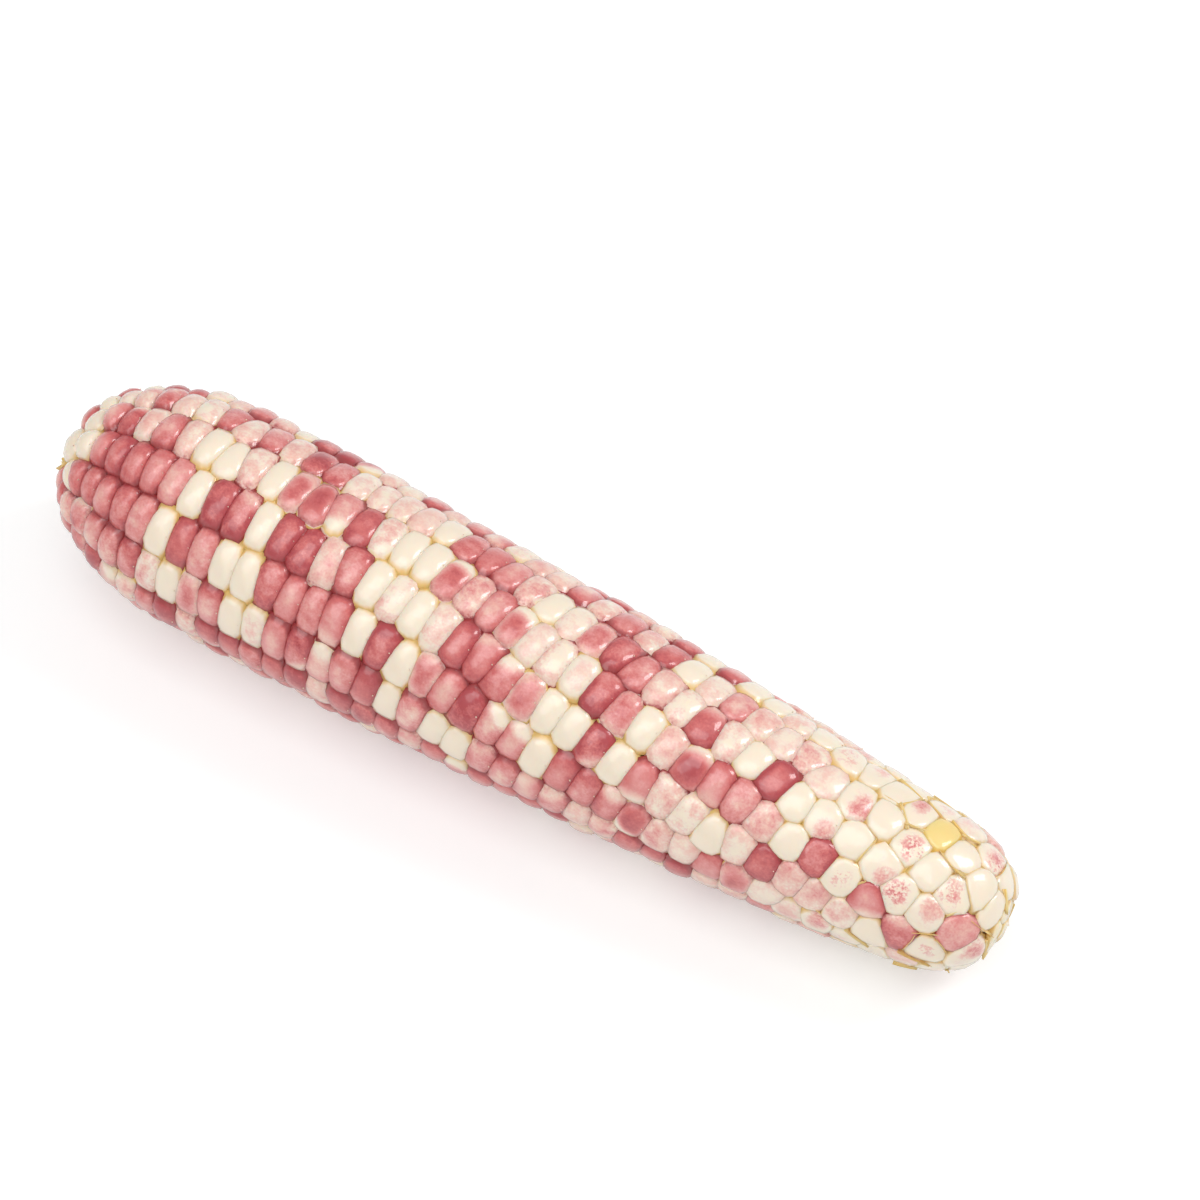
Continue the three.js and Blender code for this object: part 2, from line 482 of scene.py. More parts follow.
def store(graph, geometry, name, value):
    inputs = {"Geometry": geometry, "Name": name, "Value": value}
    settings = {"data_type": "FLOAT_VECTOR", "domain": "POINT"}
    return graph.add("GeometryNodeStoreNamedAttribute", settings, inputs)


def cell_radius(graph, given, direction, corner):
    """How far a kernel reaches in a direction before its neighbours stop it, corners rounded."""
    length_part, round_part, _ = direction.parts()
    length_limit = field(graph, "half_length") * given["Length limit"] / MM
    width_limit = field(graph, "half_width") * given["Width limit"] / MM
    total = (length_part.size() / length_limit) ** corner
    total = total + (round_part.size() / width_limit) ** corner
    for name in FACET_NAMES:
        total = total + direction.dot(arrow(graph, name)).at_least(0.0) ** corner
    return total.at_least(1e-20) ** (-1.0 / corner) * MM


def crown_drop(fraction, fullness):
    """How far the skin has fallen, of its whole fall, at a fraction of the way out to the seam."""
    left = (1.0 - fraction.at_most(1.0) ** fullness).at_least(0.0)
    return 1.0 - left ** (1.0 / fullness)


def new_tree(name, counts, sizes):
    """A node tree that turns seed points into shapes, with an input for each of its sizes."""
    tree = bpy.data.node_groups.new(name, "GeometryNodeTree")
    face = tree.interface
    face.new_socket("Seeds", in_out="INPUT", socket_type="NodeSocketGeometry")
    for label in counts:
        face.new_socket(label, in_out="INPUT", socket_type="NodeSocketInt")
    for label in sizes:
        face.new_socket(label, in_out="INPUT", socket_type="NodeSocketFloat")
    face.new_socket("Shapes", in_out="OUTPUT", socket_type="NodeSocketGeometry")
    graph = Graph(tree)
    entry = tree.nodes.new("NodeGroupInput")
    given = {socket.name: Wire(graph, socket) for socket in entry.outputs if socket.name}
    middle = graph.add("GeometryNodeInputPosition")
    return graph, given, store(graph, given["Seeds"], "middle", middle)


def cage_each(graph, seeds, shape):
    """The same plain shape on every seed, each point with its place in that shape."""
    cage = store(graph, shape, "cage", graph.add("GeometryNodeInputPosition"))
    placed = graph.add("GeometryNodeInstanceOnPoints", inputs={"Points": seeds, "Instance": cage})
    return graph.add("GeometryNodeRealizeInstances", inputs={"Geometry": placed})


def bend_cages(graph, cages, steps, spot, skin):
    """Cages moved by steps along the seed's arrows, with the spot that their finish reads."""
    place = arrow(graph, "middle")
    for name, step in steps.items():
        place = place.vector("ADD", arrow(graph, name).scaled(step))
    shapes = store(graph, cages, "spot", spot)
    shapes = graph.add("GeometryNodeSetPosition", inputs={"Geometry": shapes, "Position": place})
    return graph.add("GeometryNodeSetMaterial", inputs={"Geometry": shapes, "Material": skin})


def close_tree(graph, shapes):
    whole = graph.tree.nodes.new("GeometryNodeJoinGeometry")
    for shape in reversed(shapes):
        graph.tree.links.new(shape.socket, whole.inputs[0])
    smooth = graph.add("GeometryNodeSetShadeSmooth", inputs={0: Wire(graph, whole.outputs[0])})
    leave = graph.tree.nodes.new("NodeGroupOutput")
    graph.tree.links.new(smooth.socket, leave.inputs[0])


def kernel_reach(graph, given, direction, share, packed, foot):
    """How far the skin reaches: round on the crown, pressed flat at the seam, less at the foot."""
    seam = cell_radius(graph, given, direction, field(graph, "corner"))
    round_crown = cell_radius(graph, given, direction, field(graph, "crown_corner"))
    reach = (round_crown + (seam - round_crown) * share) * field(graph, "swell")
    tight = cell_radius(graph, given, direction, given["Packed corner"])
    reach = reach + (tight * field(graph, "packed_reach") - reach) * packed
    return reach * (1.0 + foot * (given["Foot reach"] - 1.0))


def kernel_relief(graph, given, offset, share):
    """How high the skin stands: a gentle lumpiness, and a fold across some crowns."""
    grain = arrow(graph, "middle").scaled(LUMP_SPREAD).vector("ADD", offset)
    lump = graph.noise(grain, given["Lump scale"], 1.5)
    fold = (lump - 0.5).size().ramp(0.0, FOLD_WIDTH)
    relief = field(graph, "rise") + (lump - 0.5) * 2.0 * field(graph, "lump_height")
    return relief - (1.0 - fold) * (1.0 - share) * field(graph, "fold_depth")


def kernel_bodies(graph, given, seeds, skin):
    """A domed crown for each seed, pressed flat against its neighbours and narrowing to a foot."""
    cone_inputs = {
        "Vertices": given["Sides"],
        "Side Segments": given["Rings"],
        "Radius Top": 0.0,
        "Radius Bottom": 1.0,
        "Depth": 1.0,
    }
    cages = cage_each(graph, seeds, graph.add("GeometryNodeMeshCone", inputs=cone_inputs))

    # The last ring is the foot, and the kernels pack tight at the one above it.
    # The others run evenly round the curve of the crown.
    cage_x, cage_y, height = arrow(graph, "cage").parts()
    ring = (1.0 - height) * given["Rings"]
    crown = (ring / (given["Rings"] - 2.0)).at_most(1.0)
    packed = (ring - given["Rings"] + 2.0).at_least(0.0).at_most(1.0)
    foot = (ring - given["Rings"] + 1.0).at_least(0.0)
    fullness = field(graph, "crown_fullness")
    fraction = (crown * (math.pi / 2)).sine() ** (2.0 / fullness)

    half_length, half_width = field(graph, "half_length"), field(graph, "half_width")
    outward = graph.combine(cage_x * half_length, cage_y * half_width, 0.0)
    direction = outward.vector("NORMALIZE")
    share = fraction ** 3.0
    reach = kernel_reach(graph, given, direction, share, packed, foot)
    offset = direction.scaled(reach * fraction)
    length_part, round_part, _ = offset.parts()
    deep = crown_drop(fraction, fullness) * field(graph, "crown_depth")
    deep = deep + packed * given["Packed depth"] + foot * field(graph, "foot_depth")

    # The ear bends under the kernel, which sags at its sides and tapers with depth.
    bend_length, bend_round, _ = arrow(graph, "bend").parts()
    sag = (length_part * length_part * bend_length + round_part * round_part * bend_round) * 0.5
    steps = {
        "lengthwise": length_part * (1.0 - deep * bend_length).at_least(LEAST_TAPER),
        "round_way": round_part * (1.0 - deep * bend_round).at_least(LEAST_TAPER),
        "normal_way": kernel_relief(graph, given, offset, share) - sag - deep,
    }
    spot = graph.combine(length_part / half_length, round_part / half_width, fraction + packed)
    return bend_cages(graph, cages, steps, spot, skin)


def silk_scars(graph, given, seeds, scar_skin):
    """The small nib where the silk was joined, on the side of the crown towards the ear's tip."""
    nib_inputs = {
        "Vertices": NIB_SIDES,
        "Side Segments": 1,
        "Radius Top": given["Scar radius"] * NIB_TOP,
        "Radius Bottom": given["Scar radius"],
        "Depth": given["Scar height"],
    }
    nib = graph.add("GeometryNodeMeshCone", inputs=nib_inputs)
    lean = arrow(graph, "normal_way").scaled(NIB_LEAN).vector("ADD", arrow(graph, "lengthwise"))
    turn = graph.add("FunctionNodeAlignRotationToVector", {"axis": "Z"}, {"Vector": lean})
    size = field(graph, "nib_size")
    nib_inputs = {
        "Points": seeds,
        "Instance": nib,
        "Rotation": turn,
        "Selection": size.above(LEAST_NIB),
        "Scale": graph.combine(size, size, size),
    }
    nibs = graph.add("GeometryNodeInstanceOnPoints", inputs=nib_inputs)
    seam = cell_radius(graph, given, graph.combine(1.0, 0.0, 0.0), field(graph, "corner"))
    drop = crown_drop(given["Scar place"], field(graph, "crown_fullness"))
    up = field(graph, "rise") - drop * field(graph, "crown_depth")
    along = arrow(graph, "lengthwise").scaled(seam * given["Scar place"])
    shift = along.vector("ADD", arrow(graph, "normal_way").scaled(up))
    inputs = {"Instances": nibs, "Translation": shift, "Local Space": False}
    nibs = graph.add("GeometryNodeTranslateInstances", inputs=inputs)
    nibs = graph.add("GeometryNodeRealizeInstances", inputs={"Geometry": nibs})
    return graph.add("GeometryNodeSetMaterial", inputs={"Geometry": nibs, "Material": scar_skin})


def kernel_tree(skin, scar_skin):
    graph, given, seeds = new_tree("kernels", KERNEL_COUNTS, KERNEL_SIZES)
    bodies = kernel_bodies(graph, given, seeds, skin)
    close_tree(graph, [bodies, silk_scars(graph, given, seeds, scar_skin)])
    return graph.tree


def new_object(name, data):
    thing = bpy.data.objects.new(name, data)
    bpy.context.scene.collection.objects.link(thing)
    return thing


def plain_mesh(maker, name):
    """The evaluated result of an object's modifiers as a new plain object."""
    graph = bpy.context.evaluated_depsgraph_get()
    mesh = bpy.data.meshes.new_from_object(
        maker.evaluated_get(graph), preserve_all_data_layers=True, depsgraph=graph
    )
    mesh.name = name
    bpy.data.objects.remove(maker)
    return new_object(name, mesh)


def seed_mesh(name, positions, attributes):
    mesh = bpy.data.meshes.new(name)
    mesh.vertices.add(len(positions))
    mesh.vertices.foreach_set("co", np.asarray(positions, dtype=np.float32).ravel())
    for label, values in attributes.items():
        values = np.asarray(values, dtype=np.float32)
        kind = "FLOAT_VECTOR" if values.ndim == 2 else "FLOAT"
        slot = mesh.attributes.new(label, kind, "POINT")
        slot.data.foreach_set("vector" if values.ndim == 2 else "value", values.ravel())
    return mesh


# What changes from the tidy kernels of the body to the loose ones of the tip.
TIDY_TO_LOOSE = {
    "corner": (5.5, 10.0),
    "crown_corner": (2.8, 4.6),
    "swell": (1.13, 1.07),
    "packed_reach": (1.15, 1.2),
}
CROWN_DEPTHS, BUTT_DEPTH = (1.3, 0.85), 0.75
CROWN_FULLNESSES, BUTT_FULLNESS = (2.4, 3.4), 0.15
BUTT_FROM, BUTT_TO = 8.0, 45.0
CROWN_THICKNESS, LEAST_FOOT_DEPTH = 1.9, 0.6
BUTT_UNEVENNESS = 0.12
LUMP_HEIGHT, LUMP_HEIGHT_AT_ENDS = 0.10, 0.20
FOLD_SHARE, FOLD_SHARE_AT_ENDS, FOLD_DEPTH = 0.08, 0.35, 0.11
NIB_SHARE, NIB_SIZES = 0.9, (0.6, 1.1)


def kernel_attributes(kernels, draw):
    """Everything that the kernel tree and the kernel skin read, one value for each kernel."""
    points, lengthwise, round_way, normal = surface_frame(kernels.along, kernels.angle)
    x = points[:, 0]
    r = outline.read(outline.r, kernels.along)
    heading = outline.read(outline.heading, kernels.along)
    bend = np.zeros((kernels.count, 3))
    bend[:, 0] = outline.read(outline.bend, kernels.along) / MM
    bend[:, 1] = np.cos(heading) / r / MM
    butt = 1 - smoothstep(BUTT_FROM, BUTT_TO, x)
    ends = np.maximum(butt, kernels.loose)
    folded = draw.random(kernels.count) < FOLD_SHARE + ends * FOLD_SHARE_AT_ENDS
    scarred = draw.random(kernels.count) < NIB_SHARE * (1 - kernels.loose)
    unevenness = draw.normal(0.0, 1.0, kernels.count) * butt * BUTT_UNEVENNESS
    values = {
        "lengthwise": lengthwise @ EAR_TURN.T,
        "round_way": round_way @ EAR_TURN.T,
        "normal_way": normal @ EAR_TURN.T,
        "bend": bend,
        "half_length": kernels.half_length * MM,
        "half_width": kernels.half_width * MM,
        "crown_depth": (blend(*CROWN_DEPTHS, kernels.loose) + butt * BUTT_DEPTH) * MM,
        "crown_fullness": blend(*CROWN_FULLNESSES, kernels.loose) - butt * BUTT_FULLNESS,
        "foot_depth": np.maximum(r * FOOT_RATIO - CROWN_THICKNESS, LEAST_FOOT_DEPTH) * MM,
        "rise": (kernels.rise + unevenness) * MM,
        "lump_height": (LUMP_HEIGHT + ends * LUMP_HEIGHT_AT_ENDS) * MM,
        "fold_depth": np.where(folded, FOLD_DEPTH, 0.0) * MM,
        "nib_size": np.where(scarred, draw.uniform(*NIB_SIZES, kernels.count), 0.0),
    }
    for name, (tidy, loose) in TIDY_TO_LOOSE.items():
        values[name] = blend(tidy, loose, kernels.loose)
    for i, name in enumerate(FACET_NAMES):
        facet = np.zeros((kernels.count, 3))
        facet[:, :2] = kernels.facets[:, i]
        values[name] = facet
    values.update(kernel_colours(kernels, x, draw))
    return to_world(points), values


# Where cream kernels crowd together: millimetres from the butt, degrees round, reach.
CREAM_PATCHES = [
    (76, 85, 5), (77, 110, 5), (73, 135, 3), (83, 137, 3), (81, 163, 3), (60, 50, 5), (78, 55, 3),
    (50, 134, 5), (48, 163, 3), (47, 82, 3), (48, 109, 3), (34, 79, 3), (35, 108, 3), (33, 162, 3),
    (7, 80, 3), (8, 111, 3), (4, 134, 3), (25, 45, 3), (95, 168, 3),
    (115, 130, 4), (112, 152, 3), (128, 115, 5), (145, 155, 4),
    (131, 55, 5), (133, 88, 5),
    (30, 250, 6), (75, 300, 7), (110, 240, 6), (50, 350, 5), (95, 20, 6), (140, 330, 7),
]
YELLOW_KERNEL = (182, 76)
PATCH_PULL = 0.7

# The shares of red and light kernels: over the body, how much more at the front, at the tip.
RED_SHARES = (0.65, 0.14, 0.08)
LIGHT_SHARES = (0.29, -0.12, 0.48)
TIP_FROM, TIP_FROM_AT_FRONT = 138.0, 18.0
TIP_TO, TIP_TO_AT_FRONT = 178.0, 4.0
BLUSHED_SHARE_AT_TIP = 0.8

# How pink the kernels are, how marbled, and how much pinker at the rim than in the middle; on red
# kernels the paler middle is partly a painted sheen and the deeper rim partly painted shade.
RED_TONES, MARBLED_TONES, BLUSHED_TONES = (0.62, 1.08), (0.26, 0.52), (-0.05, 0.15)
CREAM_TONE, PLAIN_TONE = -0.25, -0.3
RED_MARBLINGS, LIGHT_MARBLINGS, CREAM_MARBLING = (0.25, 0.6), (0.35, 0.75), 0.15
RED_RIMS_WITH_PAINTED_SHEEN, LIGHT_RIMS, PALE_RIM, CREAM_RIM = (0.1, 0.5), (-0.25, 0.2), -0.45, -0.3
PALE_RIM_SHARE = 0.12

# Pale caps on red kernels, and blushes on light ones.
CAP_SHARE, CAP_SHARE_AT_TIP, CAP_LEAN, CAP_STRENGTHS = 0.3, 0.6, 0.3, (0.35, 0.9)
BLUSH_REACHES, BLUSH_STRENGTHS = (0.1, 1.1), (0.35, 0.8)
GRAINY_WITHIN, GRAINY, SMOOTH = 0.6, 0.7, 0.2
SMALL_KERNEL_YELLOWS = (0.1, 0.4)


def surface_gap(kernels, x, place):
    """How far each kernel is from a place given by its distance from the butt and its angle."""
    turn = kernels.angle - math.radians(place[1])
    turn = np.abs((turn + math.pi) % (2 * math.pi) - math.pi)
    return np.hypot(x - place[0], turn * outline.read(outline.r, kernels.along))


def share_of(shares, front, tip):
    body, at_front, at_tip = shares
    return blend(body + at_front * front, at_tip, tip)


def kernel_kinds(kernels, x, draw):
    """How far each kernel belongs to the tip, and whether it is red, marbled or blushed."""
    front = -np.cos(kernels.angle)
    tip_from, tip_to = TIP_FROM + TIP_FROM_AT_FRONT * front, TIP_TO + TIP_TO_AT_FRONT * front
    tip = smoothstep(tip_from, tip_to, x)
    pull = np.zeros(kernels.count)
    for patch in CREAM_PATCHES:
        near = np.exp(-((surface_gap(kernels, x, patch) / patch[2]) ** 4))
        pull = np.maximum(pull, near)
    chance = draw.random(kernels.count) + pull * PATCH_PULL
    red_share = share_of(RED_SHARES, front, tip)
    red = chance < red_share
    light = ~red & (chance < red_share + share_of(LIGHT_SHARES, front, tip))
    blushed = light & (draw.random(kernels.count) < BLUSHED_SHARE_AT_TIP * tip)
    return tip, red, light & ~blushed, blushed


def kernel_colours(kernels, x, draw):
    """How pink a kernel is and where, how marbled, and how yellow it is."""
    count = kernels.count

    def between(span):
        return draw.uniform(*span, count)

    tip, red, marbled, blushed = kernel_kinds(kernels, x, draw)
    tone = np.where(red, between(RED_TONES), CREAM_TONE)
    tone = np.where(marbled, between(MARBLED_TONES), tone)
    tone = np.where(blushed, between(BLUSHED_TONES), tone)
    marbling = np.where(red, between(RED_MARBLINGS), between(LIGHT_MARBLINGS))
    marbling = np.where(red | marbled | blushed, marbling, CREAM_MARBLING)
    # On red kernels the paler middle and deeper rim partly paint the milky sheen and the shade
    # towards the seams.
    rim_gain = np.where(red, between(RED_RIMS_WITH_PAINTED_SHEEN), between(LIGHT_RIMS))
    pale_rim = red & (draw.random(count) < PALE_RIM_SHARE)
    rim_gain = np.where(pale_rim, PALE_RIM, rim_gain)
    rim_gain = np.where(red | marbled, rim_gain, CREAM_RIM)

    cap = np.zeros((count, 3))
    side = np.where(draw.random(count) < 0.5, -1.0, 1.0)
    lean = draw.normal(0.0, CAP_LEAN, count)
    cap[:, 0], cap[:, 1] = np.sin(lean), np.cos(lean) * side
    capped = red & (draw.random(count) < blend(CAP_SHARE, CAP_SHARE_AT_TIP, tip))
    cap[:, 2] = np.where(capped, between(CAP_STRENGTHS), 0.0)

    blush = np.zeros((count, 3))
    reach, turn = between(BLUSH_REACHES), between((0, 2 * np.pi))
    blush[:, 0], blush[:, 1] = reach * np.cos(turn), reach * np.sin(turn)
    blush[:, 2] = np.where(blushed, between(BLUSH_STRENGTHS), 0.0)

    yellow = np.zeros(count)
    yellow[np.argmin(surface_gap(kernels, x, YELLOW_KERNEL))] = 1.0
    plain = (yellow > 0) | (kernels.row == ROWS)
    tone = np.where(plain, PLAIN_TONE, tone)
    blush[:, 2] = np.where(plain, 0.0, blush[:, 2])
    return {
        "tone": tone,
        "marbling": marbling,
        "rim_gain": rim_gain,
        "cap": cap,
        "blush": blush,
        "grainy": np.where(reach < GRAINY_WITHIN, GRAINY, SMOOTH),
        "yellow": np.where(kernels.row == ROWS, between(SMALL_KERNEL_YELLOWS), yellow),
        "seed": draw.random(count),
    }


def grow(tree, name, positions, attributes, sizes):
    """A piece made by a node tree from seed points that carry attributes."""
    keys = {item.name: item.identifier for item in tree.interface.items_tree}
    maker = new_object(name + "_seeds", seed_mesh(name, positions, attributes))
    modifier = maker.modifiers.new(name, "NODES")
    modifier.node_group = tree
    for label, value in sizes.items():
        modifier[keys[label]] = value
    return plain_mesh(maker, name)


def make_kernels(kernels, skin, nib_skin, draw):
    positions, attributes = kernel_attributes(kernels, draw)
    tree = kernel_tree(skin, nib_skin)
    sizes = {**KERNEL_COUNTS, **KERNEL_SIZES}
    for row in range(ROWS + 1):
        mine = kernels.row == row
        chosen = {name: values[mine] for name, values in attributes.items()}
        name = f"kernels_of_row_{row + 1:02d}" if row < ROWS else "small_end_kernels"
        piece = grow(tree, name, positions[mine], chosen, sizes)
        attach(piece, "root")
        if row < ROWS:
            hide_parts(f"kernel_row_{row + 1:02d}")


# --- Papery scales: chaff between the tip's kernels and scraps of husk round the shank --------

SCALE_COUNTS = {"Steps": 6, "Ribs": 4}
SCALE_SIZES = {"Thickness": 0.00012, "Cup": 0.22, "Ragged": 0.22, "Point": 0.45}
TIP_SCALES, CHAFF_FROM, CHAFF_SEAMS = 70, 172.0, 5
CHAFF_LENGTHS, CHAFF_WIDTHS, CHAFF_LIFTS = (3.5, 7.0), (1.0, 1.8), (-0.6, 0.6)
CHAFF_ROOT, CHAFF_SINK, CHAFF_TURN = 0.45, 0.75, 0.5

# Rings of scraps round the scar: how many, and how far from the axis.
SCRAP_RINGS = [(11, 6.9), (8, 7.7)]
SCRAP_LENGTHS, SCRAP_WIDTHS, SCRAP_LIFTS = (1.4, 2.9), (1.6, 3.2), (0.0, 0.6)
SCRAP_ROOT, SCRAP_SPLAYS, SCRAP_TURN = 2.8, (-0.2, 0.5), 0.25
GOLDEN_ANGLE, SCRAP_ANGLE_SPREAD = 2.39996, 0.2


def scale_tree(skin):
    """A thin closed blade for each seed, tapering to a torn point and curling off the ear."""
    graph, given, seeds = new_tree("papery_scales", SCALE_COUNTS, SCALE_SIZES)
    slab_inputs = {
        "Size": (1.0, 2.0, 2.0),
        "Vertices X": given["Steps"],
        "Vertices Y": given["Ribs"],
        "Vertices Z": 2,
    }
    cages = cage_each(graph, seeds, graph.add("GeometryNodeMeshCube", inputs=slab_inputs))

    cage_x, across, face = arrow(graph, "cage").parts()
    out = cage_x + 0.5
    length, width = field(graph, "blade_length"), field(graph, "blade_width")
    taper = 1.0 - (1.0 - given["Point"]) * out ** 2.2
    torn = graph.noise(graph.combine(across * 1.7, field(graph, "seed") * 40.0, 0.0), 1.3, 1.0)
    reach = out * (1.0 + (torn - 0.5) * given["Ragged"] * 4.0 * out)
    ripple = graph.noise(graph.combine(out * 2.0, across, field(graph, "seed") * 30.0), 1.6, 1.0)
    lift = field(graph, "lift") * out * out + (ripple - 0.5) * width * 0.5 * out
    lift = lift - across * across * width * given["Cup"] + face * given["Thickness"] * 0.5
    steps = {
        "length_way": reach * length,
        "side_way": across * taper * width * 0.5,
        "face_way": lift,
    }
    spot = graph.combine(out, across, 0.0)
    close_tree(graph, [bend_cages(graph, cages, steps, spot, skin)])
    return graph.tree


def turned_blades(length_way, face_way, draw, spread):
    """Three upright directions for each blade, its face turned by a random angle."""
    length_way = length_way / np.linalg.norm(length_way, axis=1)[:, None]
    side_way = np.cross(face_way, length_way)
    side_way /= np.linalg.norm(side_way, axis=1)[:, None]
    face_way = np.cross(length_way, side_way)
    turn = draw.normal(0.0, spread, len(length_way))[:, None]
    turned_side = side_way * np.cos(turn) + face_way * np.sin(turn)
    turned_face = face_way * np.cos(turn) - side_way * np.sin(turn)
    return {
        "length_way": length_way @ EAR_TURN.T,
        "side_way": turned_side @ EAR_TURN.T,
        "face_way": turned_face @ EAR_TURN.T,
    }


def tip_scales(kernels, draw):
    """Chaff that lies in the seams between the last kernels and pokes out past them."""
    x = outline.read(outline.x, kernels.along)
    direction, distance, _ = kernels.neighbours()
    late = np.flatnonzero((x > CHAFF_FROM) & (kernels.row < ROWS))
    chosen = draw.choice(late, TIP_SCALES)
    beside = draw.integers(0, CHAFF_SEAMS, TIP_SCALES)
    toward = direction[chosen, beside]
    apart = distance[chosen, beside] / 2
    angle = kernels.angle[chosen]
    radius = outline.read(outline.r, kernels.along[chosen])
    along = kernels.along[chosen] + toward[:, 0] * apart
    angle = angle + toward[:, 1] * apart / radius
    along = np.clip(along, 0, outline.tip_end)
    points, lengthwise, round_way, normal = surface_frame(along, angle)
    seam = np.stack([-toward[:, 1], toward[:, 0]], axis=1)
    seam *= np.where(seam[:, :1] < 0, -1.0, 1.0)
    length_way = lengthwise * seam[:, :1] + round_way * seam[:, 1:]
    length = draw.uniform(*CHAFF_LENGTHS, TIP_SCALES)
    face_way = np.cross(length_way, normal)
    attributes = turned_blades(length_way, face_way, draw, CHAFF_TURN)
    points = points - length_way * length[:, None] * CHAFF_ROOT - normal * CHAFF_SINK
    attributes.update({
        "blade_length": length * MM,
        "blade_width": draw.uniform(*CHAFF_WIDTHS, TIP_SCALES) * MM,
        "lift": draw.uniform(*CHAFF_LIFTS, TIP_SCALES) * MM,
        "seed": draw.random(TIP_SCALES),
    })
    return to_world(points), attributes


def husk_scraps(draw):
    """Torn roots of the husk leaves in rings round the shank's scar."""
    count = sum(number for number, _ in SCRAP_RINGS)
    radius = np.concatenate([np.full(number, ring) for number, ring in SCRAP_RINGS])
    angle = np.arange(count) * GOLDEN_ANGLE + draw.normal(0, SCRAP_ANGLE_SPREAD, count)
    cos_a, sin_a = np.cos(angle), np.sin(angle)
    outward = np.stack([np.zeros(count), cos_a, sin_a], axis=1)
    splay = draw.uniform(*SCRAP_SPLAYS, count)[:, None]
    length_way = outward * splay + np.array([-1.0, 0.0, 0.0])
    butt_x = outline.read(outline.x, outline.butt_end)
    points = outward * radius[:, None] + np.array([butt_x + SCRAP_ROOT, 0.0, 0.0])
    attributes = turned_blades(length_way, outward, draw, SCRAP_TURN)
    attributes.update({
        "blade_length": draw.uniform(*SCRAP_LENGTHS, count) * MM,
        "blade_width": draw.uniform(*SCRAP_WIDTHS, count) * MM,
        "lift": draw.uniform(*SCRAP_LIFTS, count) * MM,
        "seed": draw.random(count),
    })
    return to_world(points), attributes


def make_scales(kernels, skin, draw):
    tree = scale_tree(skin)
    sizes = {**SCALE_COUNTS, **SCALE_SIZES}
    for name, made in [
        ("chaff_of_the_tip", tip_scales(kernels, draw)),
        ("husk_scraps_of_the_butt", husk_scraps(draw)),
    ]:
        piece = grow(tree, name, *made, sizes)
        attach(piece, "root")


# --- The cob --------------------------------------------------------------------------------

COB_SIDES = 96
SCAR_RINGS, CORE_RINGS, NUB_RINGS = 20, 24, 8
SCAR_FACE_RADIUS, PITH_RADIUS = 7.0, 3.1
SCAR_SINK, SCAR_DISH = 1.0, 0.9
PITH_EDGE, PITH_ROUGHNESS, FIBRE_ROUGHNESS = 0.4, 0.35, 0.3
BUNDLES, BUNDLE_RADIUS, BUNDLE_HEIGHT, BUNDLE_FREE_EDGE = 110, 0.24, 0.3, 0.5
TORN_RIM_WIDTH, TORN_RIM_DEPTH = 1.2, 1.6
CORE_CLEARANCE, CORE_FROM, CORE_TO = 0.8, 2.0, 1.0
NUB_FACE_RADIUS, NUB_SINK, NUB_BULGE, NUB_ROUGHNESS = 4.2, 0.8, 0.8, 0.3
SIDE_WOODINESS = 0.6


def scar_relief(y, z, bundles):
    """How far the shank's broken face stands out at each point, and how woody it is there."""
    radius = np.hypot(y, z)
    relief = -SCAR_DISH * (1 - smoothstep(0.0, SCAR_FACE_RADIUS, radius))
    woody = smoothstep(PITH_RADIUS - PITH_EDGE, PITH_RADIUS + PITH_EDGE, radius)
    pith = [noise.fractal(Vector((a, b, 3.0)) * 0.9, 0.8, 2.1, 4) for a, b in zip(y, z)]
    fibre = [noise.noise(Vector((a, b, 9.0)) * 2.2) for a, b in zip(y, z)]
    soft, hard = np.array(pith) * PITH_ROUGHNESS, np.array(fibre) * FIBRE_ROUGHNESS
    relief = relief + blend(soft, hard, woody)
    stringy = np.zeros_like(radius)
    for bundle_y, bundle_z in bundles:
        gap = ((y - bundle_y) ** 2 + (z - bundle_z) ** 2) / BUNDLE_RADIUS**2
        stringy = np.maximum(stringy, np.exp(-gap))
    rim = smoothstep(SCAR_FACE_RADIUS - TORN_RIM_WIDTH, SCAR_FACE_RADIUS, radius)
    ragged = [abs(noise.noise(Vector((a, b, 5.0)) * 0.8)) for a, b in zip(y, z)]
    relief = relief + stringy * BUNDLE_HEIGHT - rim * np.array(ragged) * TORN_RIM_DEPTH
    return relief, woody, stringy


